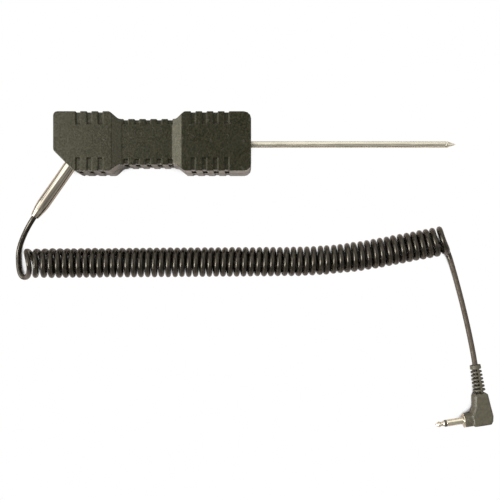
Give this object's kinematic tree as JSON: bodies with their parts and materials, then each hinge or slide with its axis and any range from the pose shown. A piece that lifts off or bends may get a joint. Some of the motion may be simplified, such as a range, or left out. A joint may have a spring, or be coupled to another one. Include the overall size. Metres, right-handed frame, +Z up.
{
  "type": "grain moisture meter probe",
  "caption": "Hand probe with a long pointed needle, a grooved two-shell grip, a coiled cord and a right-angle jack plug, for sensing moisture and temperature in grain.",
  "frame": {"origin": "on the underside of the grip's front block, at its centre and below the needle's axis", "axes": "+X along the needle to its tip, +Y across the grip away from the cord, +Z up from the surface that the probe lies on"},
  "size_m": [0.2435, 0.1578, 0.022],
  "materials": {
    "grip_plastic": "fine matte moulded texture",
    "stainless": "polished with fine lengthwise lines",
    "nickel": "bright nickel plate",
    "brass": "turned",
    "zinc_steel": "zinc plated",
    "cord_vinyl": "satin vinyl",
    "plug_vinyl": "matte moulded vinyl",
    "black_resin": "moulded",
    "sensor_epoxy": "cast epoxy",
    "red_insulation": "extruded",
    "white_insulation": "extruded",
    "board": "solder-masked laminate"
  },
  "bodies": {
    "grip": {"upper_shell": "grip_plastic", "lower_shell": "grip_plastic", "needle_tube": "stainless", "needle_point": "stainless", "needle_hub": "brass", "nose_seal": "plug_vinyl", "sensing_bead": "sensor_epoxy", "sensor_lead_a": "red_insulation", "sensor_lead_b": "white_insulation", "joint_board": "board", "shell_screw_1": "zinc_steel", "shell_screw_2": "zinc_steel", "shell_screw_3": "zinc_steel", "shell_screw_4": "zinc_steel", "strain_sleeve": "stainless", "cord_crimp": "brass", "conductor_a": "red_insulation", "conductor_b": "white_insulation", "cord_root": "cord_vinyl"},
    "lead_in": {"cord_bend": "cord_vinyl", "cord_lead_in": "cord_vinyl"},
    "coil_start": {"cord_entry_loop": "cord_vinyl", "cord_coil": "cord_vinyl"},
    "coil_end": {"cord_end_turn": "cord_vinyl"},
    "tail": {"cord_tail_bend": "cord_vinyl", "cord_tail": "cord_vinyl"},
    "plug": {"cord_stub": "cord_vinyl", "plug_boot": "plug_vinyl", "plug_body": "plug_vinyl", "plug_sleeve": "nickel", "plug_insulator": "black_resin", "plug_tip": "nickel", "plug_wire_a": "red_insulation", "plug_wire_b": "white_insulation"}
  },
  "joints": [
    {"name": "cord_swing", "type": "hinge", "parent": "grip", "child": "lead_in", "pos_m": [-0.09528, -0.0402, 0.00949], "axis": [0, 0, 1], "range_deg": [-80, 8], "deforming": ["cord_bend"]},
    {"name": "coil_lift", "type": "hinge", "parent": "lead_in", "child": "coil_start", "pos_m": [-0.1031, -0.056, 0.00135], "axis": [0, -1, 0], "range_deg": [0, 30]},
    {"name": "coil_stretch", "type": "slide", "parent": "coil_start", "child": "coil_end", "axis": [1, 0, 0], "range_m": [0, 0.6], "stiffness_N_per_m": 4, "deforming": ["cord_coil"]},
    {"name": "tail_swing", "type": "hinge", "parent": "coil_end", "child": "tail", "pos_m": [0.12152, -0.06814, 0.00165], "axis": [0, 0, 1], "range_deg": [-60, 75], "deforming": ["cord_tail_bend"]},
    {"name": "plug_flex", "type": "hinge", "parent": "tail", "child": "plug", "pos_m": [0.13169, -0.11834, 0.0039], "axis": [0, 0, 1], "range_deg": [-30, 30], "deforming": ["plug_boot", "cord_stub"]}
  ]
}
